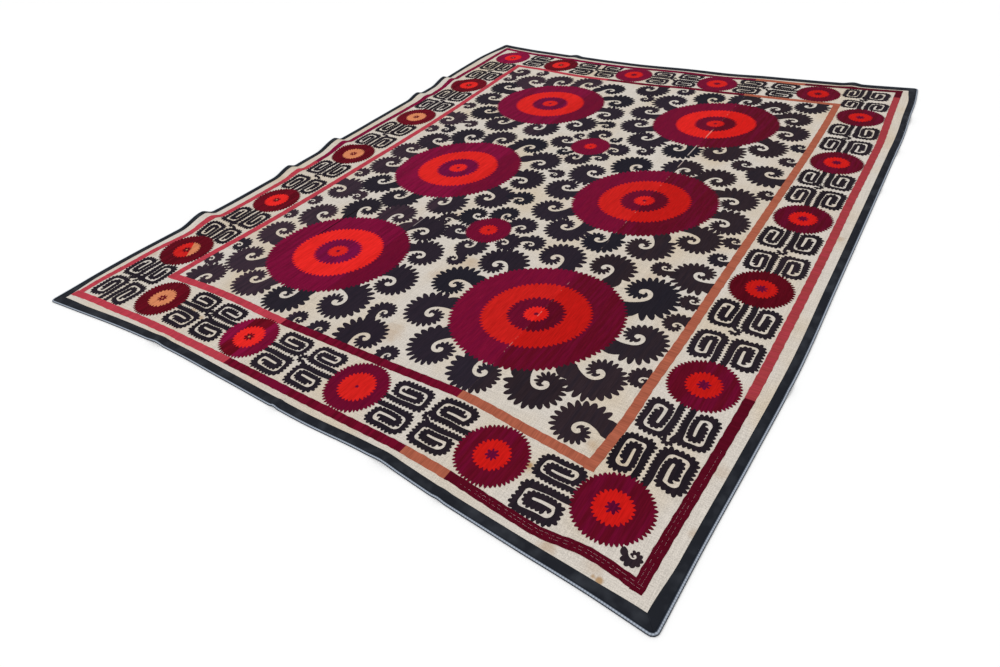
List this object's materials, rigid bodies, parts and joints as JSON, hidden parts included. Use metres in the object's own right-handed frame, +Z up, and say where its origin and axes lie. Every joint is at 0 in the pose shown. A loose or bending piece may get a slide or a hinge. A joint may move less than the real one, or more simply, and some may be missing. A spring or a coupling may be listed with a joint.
{
  "type": "suzani_embroidered_textile",
  "caption": "Suzani laid flat: sewn lengths of natural cotton covered with toothed rosettes and dark scroll leaves in couched thread, with a dark border band and a blue-grey rolled edging.",
  "frame": {"origin": "middle of the cloth on the surface that it lies on", "axes": "+Y along the cloth's length, away from the near end in the picture, +X across its width to the right, +Z up from the surface"},
  "size_m": [2.167, 2.7268, 0.0236],
  "materials": {
    "cotton_left": "natural hand-woven cotton",
    "cotton_mid_left": "natural hand-woven cotton",
    "cotton_mid_right": "natural hand-woven cotton",
    "cotton_right": "natural hand-woven cotton",
    "band_near": "blue-black cotton band",
    "band_far": "blue-black cotton band",
    "band_left": "blue-black cotton band",
    "band_right": "blue-black cotton band",
    "edging_near": "blue-grey rolled edging",
    "edging_far": "blue-grey rolled edging",
    "edging_left": "blue-grey rolled edging",
    "edging_right": "blue-grey rolled edging"
  },
  "bodies": {
    "root": {"cotton_left": "cotton_left", "cotton_mid_left": "cotton_mid_left", "cotton_mid_right": "cotton_mid_right", "cotton_right": "cotton_right", "band_near": "band_near", "band_far": "band_far", "band_left": "band_left", "band_right": "band_right", "edging_near": "edging_near", "edging_far": "edging_far", "edging_left": "edging_left", "edging_right": "edging_right"}
  },
  "joints": []
}
